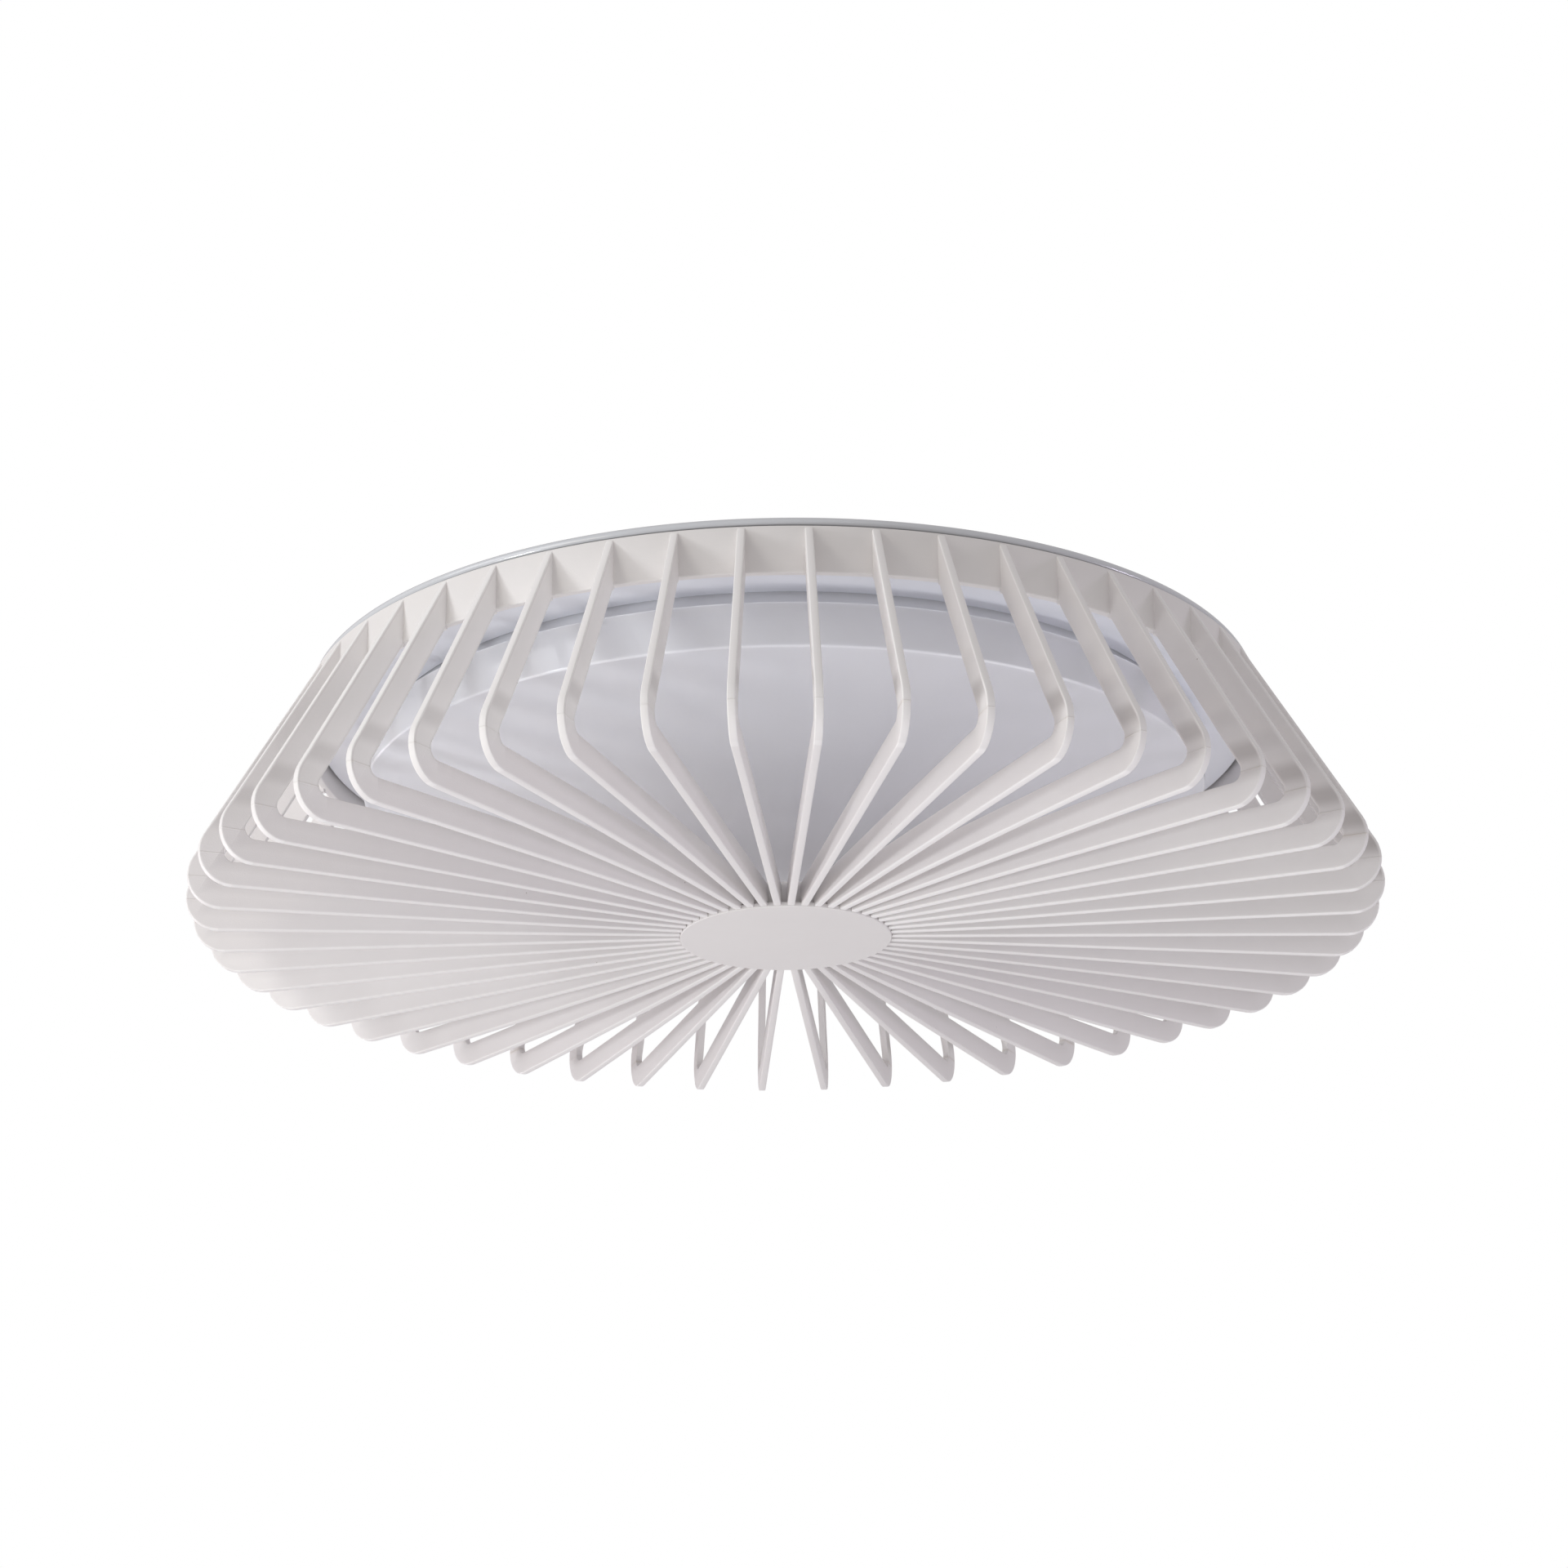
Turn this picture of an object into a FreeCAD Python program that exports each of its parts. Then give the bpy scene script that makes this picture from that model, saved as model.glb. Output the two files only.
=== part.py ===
import FreeCAD, Part
import math
import os

from FreeCAD import Vector

# LED flush ceiling light. Millimetres, +Z up, origin at the centre of the ceiling face.
# Radii are measured from the vertical centre line, drops are measured down from the ceiling.

# Cage
fin_count = 50
fin_thickness = 3.1
fin_depth = 9.9
fin_corner_reach = 260.2      # radius where the fin's two straight outer edges would meet
fin_corner_drop = 101.1       # depth of that corner below the ring's top
fin_root_drop = 0.7           # the fin's outer edge starts this far below the ring's top
fin_corner_radius = 14.0
fin_crook_radius = 4.2
fin_tail_rise = 2.6           # climb of the fin's lower edge from the corner to the hub
fin_phase = 2.97              # turn of the first fin from the -Y direction, degrees
ring_drop = 4.5
ring_radius = 203.3
ring_wall = 3.0
ring_height = 19.3
hub_radius = 43.0
hub_wall = 3.0
hub_height = 9.5
hub_web = 2.0
cap_overhang = 1.6
cap_thickness = 2.0
cap_step = 0.5                # the cap's face stands this far below the fins
cap_post_radius = 4.0
cap_post_circle = 26.0
cap_post_count = 3
cap_post_bore = 1.3

# Base pan and trim ring
clip_room = 2.1               # space between the pan's wall and the cage ring
bead_radius = 1.85
bead_overhang = 1.7           # the bead's middle stands this far outside the pan's wall
pan_sheet = 1.0
pan_depth = 14.4              # ceiling to the lower end of the pan's wall
roof_drop = 2.5
recess_radius = 64.0
recess_depth = 22.0
trim_lip = 0.5                # the trim ring stands this far outside the pan's wall
trim_thickness = 2.0
trim_dish = 1.4               # the trim ring's face falls this much towards the neck
trim_corner_radius = 1.2
trim_boss_radius = 4.5
trim_boss_count = 6
gasket_width = 8.0
gasket_inset = 24.0           # from the pan's wall to the gasket's outer edge

# Diffuser
collar_inset = 28.0           # from the pan's wall to the diffuser's neck
collar_wall = 2.0
collar_top_drop = 12.0
rim_drop = 25.4
rim_flare = 9.3               # the rim stands this far outside the neck
rim_round = 0.5
side_height = 17.9
side_taper = 1.0
side_round = 1.6
crown_depth = 7.3
diffuser_wall = 2.0
lug_count = 3
lug_reach = 3.8
lug_height = 2.0
lug_angle = 14.0
lug_turn = 15.0               # twist between locked and free
lug_phase = 75.0              # direction of the first lug from +X, degrees
lug_play_angle = 2.0

# Ceiling bracket
bracket_end = 19.0            # from a stud to the bracket's end
bracket_width = 28.0
bracket_thickness = 1.5
slot_spacing = 84.0
slot_length = 18.0
slot_width = 5.0
cable_hole_radius = 10.0
stud_room = 6.0               # from the wiring recess to the stud washers
stud_radius = 2.0
stud_length = 16.0
stud_head_radius = 4.5
washer_radius = 6.0
washer_thickness = 1.0
nut_radius = 5.5
nut_height = 7.0
nut_groove_count = 18

# Gear tray and LED board
tray_drop = 20.0
tray_sheet = 1.5
tray_play = 8.0               # from the neck's inner wall to the tray's edge
tray_bore_room = 2.5          # from the stud nuts to the tray's bore
tray_post_count = 4
tray_post_radius = 4.5
tray_post_inset = 6.2
board_thickness = 1.6
board_bore_lip = 4.0          # from the tray's bore to the board's inner edge
board_edge_play = 3.1         # from the tray screws' heads to the board's outer edge
led_length = 3.5
led_width = 2.8
led_height = 0.8
led_row_count = 3
led_first_row_count = 24
led_added_count = 6           # more in each row than in the row inside it
board_screw_count = 6
board_screw_turn = 36.0       # turn of the first board screw from +X, degrees

# Driver
driver_length = 112.0
driver_width = 36.0
driver_height = 15.5
driver_wall = 1.6
driver_cover_thickness = 1.2
driver_shift = 2.0            # the driver's middle is this far inside the middle of the LED board
driver_rail = 3.0
driver_rail_width = 2.0
driver_rail_root = 0.5        # the rails and bosses run this far into the case's floor
driver_screw_inset = 3.5
driver_board_play = 0.6
driver_board_thickness = 1.6
core_length = 20.0
core_width = 17.0
core_height = 7.6
core_wall = 3.0
coil_play = 1.0
coil_bulge = 2.0
capacitor_radius = 3.6
capacitor_length = 17.0
capacitor_count = 2
capacitor_room = 4.0          # from the transformer's core to the capacitors

# Terminal block, earth and leads
block_length = 38.0
block_width = 21.0
block_height = 13.0
block_reach = 33.0            # centre line to the block's middle
block_screw_edge = 0.4        # from a terminal screw's head to the block's end
lever_count = 3
lever_pitch = 10.0
lever_width = 6.0
lever_length = 11.0
lever_thickness = 2.0
lever_barrel_radius = 2.0
lever_pin_radius = 0.8
lever_play = 0.4
lever_back_wall = 3.0         # from a lever's barrel to the block's back
lever_pin_overrun = 1.5       # the pin runs this far past the outer levers
entry_radius = 1.6
entry_length = 8.0
entry_rise = 5.5              # height of the wire entries above the recess floor
lead_radius = 1.1
lead_spacing = 5.0
lead_rise = 7.4               # height of the leads above the recess floor
grommet_radius = 6.5
grommet_lip = 2.0
grommet_sleeve = 2.0          # length of the grommet between its lips, beyond the sheet
grommet_shift = 0.4           # the grommet sits this far towards the terminal block
earth_tag_length = 12.0
earth_tag_thickness = 0.8
earth_tag_margin = 0.8        # the tag's eye stands this far outside the screw's head
earth_place = (-40.0, 20.0)
led_lead_radius = 0.8
led_lead_spacing = 5.0
led_lead_run = 9.0
led_lead_bend = 5.0
led_lead_rise = 1.5           # from the driver's board to the leads

# Spring clips that hold the cage
clip_count = 4
clip_width = 14.0
clip_sheet = 0.5
clip_gap = 0.3                # clip nose to cage ring
clip_phase = 45.0
clip_flat = 3.6               # straight part of a clip, against the pan's wall
clip_nose_rise = 6.0
clip_tip_lean = 0.4
clip_top_room = 0.5           # from a clip's tip to the bead
clip_rivet_rise = 2.0
rivet_head_radius = 1.725

# Screws and running room
screw_radius = 1.5
screw_head_radius = 2.9
screw_head_height = 1.7
small_screw_radius = 1.2
small_head_radius = 2.3
small_head_height = 1.4
thread_play = 0.05
hole_play = 0.25
seat_gap = 0.3                # room between a moving piece and its seat

# Levels and radii that follow from the sizes above
ring_top = -ring_drop
ring_bottom = ring_top - ring_height
pan_radius = ring_radius - ring_wall - clip_room
roof_top = -roof_drop
roof_under = roof_top - pan_sheet
recess_floor = roof_top - recess_depth
trim_top = -pan_depth
trim_outer_radius = pan_radius + trim_lip
collar_radius = pan_radius - collar_inset
trim_opening = collar_radius + trim_lip
trim_boss_circle = (trim_opening + lug_reach + pan_radius) / 2
stud_spacing = 2 * (recess_radius + stud_room + washer_radius)
bracket_length = stud_spacing + 2 * bracket_end
tray_bore_radius = stud_spacing / 2 + nut_radius + tray_bore_room
tray_radius = collar_radius - collar_wall - tray_play
tray_top = -tray_drop
tray_under = tray_top - tray_sheet
board_under = tray_under - board_thickness
tray_post_circle = tray_radius - tray_post_inset
board_inner_radius = tray_bore_radius + board_bore_lip
board_outer_radius = tray_post_circle - screw_head_radius - board_edge_play
driver_reach = (board_inner_radius + board_outer_radius) / 2 - driver_shift
cap_radius = hub_radius + cap_overhang
fin_tail = ring_top - fin_corner_drop + fin_tail_rise
cap_face = fin_tail - cap_step
cap_top = cap_face + cap_thickness
hub_top = cap_top + hub_height


def round_corner(before, corner, after, radius):
    """Start, middle and end of the arc that rounds one corner of an outline."""
    inward = Vector(before[0] - corner[0], 0, before[1] - corner[1]).normalize()
    onward = Vector(after[0] - corner[0], 0, after[1] - corner[1]).normalize()
    half = inward.getAngle(onward) / 2
    point = Vector(corner[0], 0, corner[1])
    middle_line = (inward + onward).normalize()
    centre = point + middle_line * (radius / math.sin(half))
    reach = radius / math.tan(half)
    return point + inward * reach, centre - middle_line * radius, point + onward * reach


def outline(corners):
    """Closed face in the XZ plane through corners (x, z) or (x, z, rounding radius)."""
    stops = []
    for place, corner in enumerate(corners):
        if len(corner) == 3 and corner[2] > 0:
            before = corners[place - 1]
            after = corners[(place + 1) % len(corners)]
            stops.append(round_corner(before, corner, after, corner[2]))
        else:
            point = Vector(corner[0], 0, corner[1])
            stops.append((point, None, point))
    edges = []
    for place, (start, middle, end) in enumerate(stops):
        if middle is not None:
            edges.append(Part.Arc(start, middle, end).toShape())
        next_start = stops[(place + 1) % len(stops)][0]
        if end.distanceToPoint(next_start) > 1e-7:
            edges.append(Part.LineSegment(end, next_start).toShape())
    return Part.Face(Part.Wire(edges))


def turned(corners):
    """Solid turned about the centre line from a half outline."""
    return outline(corners).revolve(Vector(), Vector(0, 0, 1), 360)


def slab(corners, thickness):
    """Plate with its outline in the XZ plane, centred on that plane."""
    face = outline(corners)
    face.translate(Vector(0, -thickness / 2, 0))
    return face.extrude(Vector(0, thickness, 0))


def cylinder(radius, low, high, x=0.0, y=0.0):
    return Part.makeCylinder(radius, high - low, Vector(x, y, low))


def rod_x(radius, length, x, y, z):
    return Part.makeCylinder(radius, length, Vector(x, y, z), Vector(1, 0, 0))


def rod_y(radius, length, x, y, z):
    return Part.makeCylinder(radius, length, Vector(x, y, z), Vector(0, 1, 0))


def tube(outer, inner, low, high, x=0.0, y=0.0):
    return cylinder(outer, low, high, x, y).cut(cylinder(inner, low, high, x, y))


def block(length, width, low, high, x=0.0, y=0.0):
    return Part.makeBox(length, width, high - low, Vector(x - length / 2, y - width / 2, low))


def turn(shape, degrees):
    copy = shape.copy()
    copy.rotate(Vector(), Vector(0, 0, 1), degrees)
    return copy


def around(shape, count, first=0.0):
    return [turn(shape, first + 360.0 * number / count) for number in range(count)]


def move(shape, x=0.0, y=0.0, z=0.0):
    copy = shape.copy()
    copy.translate(Vector(x, y, z))
    return copy


def flip(shape):
    """Turn a piece upside down about the X axis."""
    copy = shape.copy()
    copy.rotate(Vector(), Vector(1, 0, 0), 180)
    return copy


def cut_all(shape, tools):
    return shape.cut(Part.makeCompound(tools))


def screw(radius, length, head_radius, head_height):
    """Round-headed cross screw: the head sits on z = 0 and the shank points down."""
    head = turned([(0, 0), (head_radius, 0), (head_radius, head_height, head_height * 0.7), (0, head_height)])
    shank = cylinder(radius, -length, 0)
    cross_width = head_radius * 0.24
    cross_length = head_radius * 1.1
    cross_floor = head_height * 0.45
    cross = block(cross_length, cross_width, cross_floor, head_height * 1.5)
    cross = cross.fuse(block(cross_width, cross_length, cross_floor, head_height * 1.5))
    return head.fuse(shank).cut(cross).removeSplitter()


def big_screw(length):
    return screw(screw_radius, length, screw_head_radius, screw_head_height)


def small_screw(length):
    return screw(small_screw_radius, length, small_head_radius, small_head_height)


# Cage

def fin_outline():
    """Side view of one fin, from the cage ring round the corner to the hub."""
    corner = Vector(fin_corner_reach, 0, ring_top - fin_corner_drop)
    start = Vector(ring_radius, 0, ring_top - fin_root_drop)
    end = Vector(hub_radius, 0, fin_tail)
    slope = (corner - start).normalize()
    tail = (end - corner).normalize()
    inner_start = start + Vector(0, 0, -fin_depth / slope.x)
    inner_end = end + Vector(0, 0, fin_depth / abs(tail.x))
    half = (slope * -1).getAngle(tail) / 2
    inner_corner = corner + (tail - slope).normalize() * (fin_depth / math.sin(half))
    return [
        (start.x, start.z),
        (corner.x, corner.z, fin_corner_radius),
        (end.x, end.z),
        (inner_end.x, inner_end.z),
        (inner_corner.x, inner_corner.z, fin_crook_radius),
        (inner_start.x, inner_start.z),
    ]


def cage_fins():
    fin = slab(fin_outline(), fin_thickness)
    cap_seat = cylinder(cap_radius + hole_play, cap_face - cap_step, cap_top)
    return Part.makeCompound(around(fin.cut(cap_seat), fin_count, fin_phase - 90.0))


def cage_ring():
    return tube(ring_radius, ring_radius - ring_wall, ring_bottom, ring_top)


def cap_post_places():
    return [math.radians(360.0 * number / cap_post_count + 90.0) for number in range(cap_post_count)]


def cage_hub():
    hub = tube(hub_radius, hub_radius - hub_wall, cap_top, hub_top)
    hub = hub.fuse(cylinder(hub_radius - hub_wall / 2, hub_top - hub_web, hub_top)).removeSplitter()
    holes = []
    for angle in cap_post_places():
        x, y = cap_post_circle * math.cos(angle), cap_post_circle * math.sin(angle)
        holes.append(cylinder(small_screw_radius + hole_play, cap_top, hub_top + 1, x, y))
    return cut_all(hub, holes)


def hub_cap():
    cap = turned([(0, cap_face), (cap_radius, cap_face, 0.5), (cap_radius, cap_top), (0, cap_top)])
    post_top = hub_top - hub_web
    for angle in cap_post_places():
        x, y = cap_post_circle * math.cos(angle), cap_post_circle * math.sin(angle)
        cap = cap.fuse(cylinder(cap_post_radius, cap_face + cap_thickness / 2, post_top, x, y))
        cap = cap.cut(cylinder(small_screw_radius + thread_play, cap_top, post_top + 1, x, y))
    return cap.removeSplitter()


def hub_screws():
    length = hub_web + (hub_top - hub_web - cap_top) * 0.8
    one = small_screw(length)
    screws = []
    for angle in cap_post_places():
        x, y = cap_post_circle * math.cos(angle), cap_post_circle * math.sin(angle)
        screws.append(move(one, x, y, hub_top))
    return Part.makeCompound(screws)


# Base pan and trim ring

def trim_boss_places():
    return [math.radians(360.0 * number / trim_boss_count) for number in range(trim_boss_count)]


def grommet_hole(radius):
    middle = recess_floor + lead_rise
    return rod_y(radius, pan_sheet * 8, 0, recess_radius - pan_sheet * 4, middle)


def clip_rivet_height():
    return trim_top + clip_rivet_rise


def base_pan():
    bead_middle = pan_radius + bead_overhang
    bead_inner = bead_middle - bead_radius
    pan = turned([
        (0, recess_floor),
        (recess_radius, recess_floor),
        (recess_radius, roof_top),
        (bead_inner, roof_top),
        (bead_inner, 0),
        (bead_middle + bead_radius, 0, bead_radius),
        (bead_middle + bead_radius, -2 * bead_radius, bead_radius),
        (pan_radius, -2 * bead_radius),
        (pan_radius, trim_top),
        (pan_radius - pan_sheet, trim_top),
        (pan_radius - pan_sheet, roof_under),
        (recess_radius + pan_sheet, roof_under),
        (recess_radius + pan_sheet, recess_floor - pan_sheet),
        (0, recess_floor - pan_sheet),
    ])
    holes = [grommet_hole(grommet_radius - grommet_lip)]
    for side in (-1, 1):
        holes.append(cylinder(stud_radius + hole_play, roof_under - 1, roof_top + 1, side * stud_spacing / 2))
    for angle in trim_boss_places():
        x, y = trim_boss_circle * math.cos(angle), trim_boss_circle * math.sin(angle)
        holes.append(cylinder(screw_radius + hole_play, roof_under - 1, roof_top + 1, x, y))
    for x, y in block_screw_places():
        holes.append(cylinder(small_screw_radius + thread_play, recess_floor - 2, recess_floor + 1, x, y))
    holes.append(cylinder(screw_radius + thread_play, recess_floor - 2, recess_floor + 1, *earth_place))
    holes += around(rivet_bore(), clip_count, clip_phase)
    return cut_all(pan, holes)


def ceiling_gasket():
    outer = pan_radius - gasket_inset
    return tube(outer, outer - gasket_width, roof_top, 0)


def trim_ring():
    ring = turned([
        (trim_opening, trim_top),
        (trim_outer_radius, trim_top),
        (trim_outer_radius, trim_top - trim_thickness, trim_corner_radius),
        (trim_opening, trim_top - trim_thickness - trim_dish, trim_corner_radius / 2),
    ])
    notch_radius = collar_radius + lug_reach + trim_lip
    notch_low = trim_top - 2 * (trim_thickness + trim_dish)
    notch = lug_sector(notch_radius, trim_opening - 2, notch_low, trim_top + 1, lug_angle + lug_play_angle)
    ring = cut_all(ring, around(notch, lug_count, lug_phase + lug_turn))
    for angle in trim_boss_places():
        x, y = trim_boss_circle * math.cos(angle), trim_boss_circle * math.sin(angle)
        ring = ring.fuse(cylinder(trim_boss_radius, trim_top - trim_thickness / 2, roof_under, x, y))
        ring = ring.cut(cylinder(screw_radius + thread_play, trim_top, roof_under + 1, x, y))
    return ring.removeSplitter()


def trim_screws():
    one = big_screw((roof_top - trim_top) * 0.8)
    screws = []
    for angle in trim_boss_places():
        x, y = trim_boss_circle * math.cos(angle), trim_boss_circle * math.sin(angle)
        screws.append(move(one, x, y, roof_top))
    return Part.makeCompound(screws)


# Spring clips

def cage_clips():
    """Bowed leaf springs on the pan's wall: the nose bears on the cage ring."""
    foot = trim_top + seat_gap
    nose = ring_radius - ring_wall - clip_gap
    nose_height = foot + clip_nose_rise
    tip = -2 * bead_radius - clip_top_room
    strip = slab([
        (pan_radius, foot),
        (pan_radius + clip_sheet, foot),
        (pan_radius + clip_sheet, foot + clip_flat),
        (nose, nose_height, 0.6),
        (pan_radius + clip_sheet + clip_tip_lean, tip),
        (pan_radius + clip_tip_lean, tip),
        (nose - clip_sheet * 1.1, nose_height, 0.3),
        (pan_radius, foot + clip_flat + clip_sheet * 0.4),
    ], clip_width)
    strip = strip.cut(rivet_bore())
    return Part.makeCompound(around(strip, clip_count, clip_phase))


def rivet_bore():
    inner = pan_radius - pan_sheet * 3
    return rod_x(small_screw_radius, pan_sheet * 8, inner, 0, clip_rivet_height())


def clip_rivets():
    height = clip_rivet_height()
    inner_seat = math.sqrt((pan_radius - pan_sheet) ** 2 - rivet_head_radius ** 2) - thread_play
    outer_seat = pan_radius + clip_sheet
    rivet = rod_x(small_screw_radius, outer_seat - inner_seat, inner_seat, 0, height)
    for start in (inner_seat - clip_sheet, outer_seat):
        rivet = rivet.fuse(rod_x(rivet_head_radius, clip_sheet, start, 0, height))
    return Part.makeCompound(around(rivet.removeSplitter(), clip_count, clip_phase))


# Diffuser

def lug_sector(outer, inner, low, high, angle):
    """Piece of a ring, centred on +X, with the given angle between its ends."""
    face = outline([(inner, low), (outer, low), (outer, high), (inner, high)])
    sector = face.revolve(Vector(), Vector(0, 0, 1), angle)
    return turn(sector, -angle / 2)


def diffuser():
    rim_radius = collar_radius + rim_flare
    rim_top = -rim_drop
    foot_radius = rim_radius - side_taper
    foot = rim_top - side_height
    wall = diffuser_wall
    bowl = outline([
        (collar_radius, -collar_top_drop),
        (collar_radius, rim_top),
        (rim_radius, rim_top, rim_round),
        (foot_radius, foot, side_round),
        (foot_radius - wall * 2, foot - crown_height(foot_radius - wall * 2, foot_radius)),
        (foot_radius - wall * 2, foot + wall),
        (foot_radius - wall * 1.2, foot + wall),
        (rim_radius - wall * 1.2, rim_top - wall),
        (collar_radius - collar_wall, rim_top - wall),
        (collar_radius - collar_wall, -collar_top_drop),
    ]).revolve(Vector(), Vector(0, 0, 1), 360)
    bottom = crowned_plate(foot_radius - wall * 2, foot, foot + wall, foot_radius)
    lug_low = trim_top + seat_gap
    lug_root = collar_radius - collar_wall / 2
    lug = lug_sector(collar_radius + lug_reach, lug_root, lug_low, lug_low + lug_height, lug_angle)
    shell = bowl.fuse(bottom)
    for piece in around(lug, lug_count, lug_phase):
        shell = shell.fuse(piece)
    return shell.removeSplitter()


def crown_height(radius, foot_radius):
    """Depth of the crowned bottom below its edge at a radius, along one round arc."""
    arc_radius = (foot_radius ** 2 + crown_depth ** 2) / (2 * crown_depth)
    return math.sqrt(arc_radius ** 2 - radius ** 2) - (arc_radius - crown_depth)


def crowned_plate(radius, low, high, foot_radius):
    """Round plate whose two faces bulge down together."""
    def point(at, level):
        return Vector(at, 0, level - crown_height(at, foot_radius))
    edge_low = point(radius, low)
    edge_high = Vector(radius, 0, high)
    middle_high = Vector(0, 0, high - crown_depth)
    half_high = Vector(radius / 2, 0, high - crown_depth * 0.75)
    edges = [
        Part.Arc(point(0, low), point(radius / 2, low), edge_low).toShape(),
        Part.LineSegment(edge_low, edge_high).toShape(),
        Part.Arc(edge_high, half_high, middle_high).toShape(),
        Part.LineSegment(middle_high, point(0, low)).toShape(),
    ]
    return Part.Face(Part.Wire(edges)).revolve(Vector(), Vector(0, 0, 1), 360)


# Ceiling bracket

def slot(length, width, low, high, x):
    straight = block(length - width, width, low, high, x)
    ends = [cylinder(width / 2, low, high, x + side * (length - width) / 2) for side in (-1, 1)]
    return straight.multiFuse(ends).removeSplitter()


def ceiling_bracket():
    low = -bracket_thickness
    bar = slot(bracket_length, bracket_width, low, 0, 0)
    holes = [cylinder(cable_hole_radius, low - 1, 1)]
    for side in (-1, 1):
        holes.append(slot(slot_length, slot_width, low - 1, 1, side * slot_spacing / 2))
        holes.append(cylinder(stud_radius + thread_play, low - 1, 1, side * stud_spacing / 2))
        holes.append(cylinder(stud_head_radius + thread_play, low / 2, 1, side * stud_spacing / 2))
    return cut_all(bar, holes)


def bracket_studs():
    stud = cylinder(stud_radius, -stud_length, 0)
    stud = stud.fuse(cylinder(stud_head_radius, -bracket_thickness / 2, 0)).removeSplitter()
    return Part.makeCompound([move(stud, side * stud_spacing / 2) for side in (-1, 1)])


def stud_washers():
    low = roof_under - washer_thickness
    places = [side * stud_spacing / 2 for side in (-1, 1)]
    bore = stud_radius + hole_play
    return Part.makeCompound([tube(washer_radius, bore, low, roof_under, x) for x in places])


def stud_nuts():
    """Knurled nuts that draw the base pan up to the bracket."""
    high = roof_under - washer_thickness
    nut = tube(nut_radius, stud_radius + thread_play, high - nut_height, high)
    groove = cylinder(nut_radius * 0.11, high - nut_height - 1, high - nut_height * 0.25, nut_radius)
    nut = cut_all(nut, around(groove, nut_groove_count))
    return Part.makeCompound([move(nut, side * stud_spacing / 2) for side in (-1, 1)])


# Gear tray and LED board

def tray_post_places():
    step = 2 * math.pi / tray_post_count
    angles = [step * (number + 0.5) for number in range(tray_post_count)]
    return [(tray_post_circle * math.cos(angle), tray_post_circle * math.sin(angle)) for angle in angles]


def board_screw_places():
    first = math.radians(board_screw_turn)
    circle = (board_inner_radius + board_outer_radius) / 2 + (board_outer_radius - board_inner_radius) / 6
    angles = [first + 2 * math.pi * number / board_screw_count for number in range(board_screw_count)]
    return [(circle * math.cos(angle), circle * math.sin(angle)) for angle in angles]


def led_lead_places():
    middle = driver_length / 2 + led_lead_run + led_lead_bend
    return [(middle, driver_reach + side * led_lead_spacing / 2) for side in (-1, 1)]


def gear_tray():
    tray = tube(tray_radius, tray_bore_radius, tray_under, tray_top)
    holes = []
    for x, y in tray_post_places():
        holes.append(cylinder(screw_radius + hole_play, tray_under - 1, tray_top + 1, x, y))
    for x, y in board_screw_places():
        holes.append(cylinder(small_screw_radius + thread_play, tray_under - 1, tray_top + 1, x, y))
    for x, y in led_lead_places():
        holes.append(cylinder(led_lead_radius * 2, tray_under - 1, tray_top + 1, x, y))
    for x, y in driver_screw_places():
        holes.append(cylinder(small_screw_radius + hole_play, tray_under - 1, tray_top + 1, x, y))
    return cut_all(tray, holes)


def tray_posts():
    bore_low = tray_top - 1
    bore_high = tray_top + (roof_under - tray_top) * 0.7
    posts = []
    for x, y in tray_post_places():
        post = cylinder(tray_post_radius, tray_top, roof_under, x, y)
        posts.append(post.cut(cylinder(screw_radius + thread_play, bore_low, bore_high, x, y)))
    return Part.makeCompound(posts)


def tray_screws():
    one = flip(big_screw(tray_sheet + (roof_under - tray_top) * 0.5))
    return Part.makeCompound([move(one, x, y, tray_under) for x, y in tray_post_places()])


def led_board():
    board = tube(board_outer_radius, board_inner_radius, board_under, tray_under)
    holes = []
    for x, y in board_screw_places():
        holes.append(cylinder(small_screw_radius + hole_play, board_under - 1, tray_under + 1, x, y))
    for x, y in driver_screw_places():
        holes.append(cylinder(small_head_radius + hole_play, board_under - 1, tray_under + 1, x, y))
    return cut_all(board, holes)


def led_packages():
    """Rows of small square light sources, each a shallow tray with a domed window."""
    low = board_under - led_height
    package = block(led_length, led_width, low, board_under)
    window = block(led_length * 0.72, led_width * 0.72, low - 0.1, low + led_height * 0.2)
    package = package.cut(window)
    pitch = (board_outer_radius - board_inner_radius) / led_row_count
    packages = []
    for row in range(led_row_count):
        radius = board_inner_radius + pitch * (row + 0.5)
        packages += around(move(package, radius), led_first_row_count + led_added_count * row)
    return Part.makeCompound(packages)


def board_screws():
    one = flip(small_screw(board_thickness + tray_sheet))
    return Part.makeCompound([move(one, x, y, board_under) for x, y in board_screw_places()])


# Driver

def driver_screw_places():
    x = driver_length / 2 - driver_wall - driver_screw_inset
    return [(side * x, driver_reach) for side in (-1, 1)]


def driver_floor():
    return tray_top + driver_wall


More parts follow.
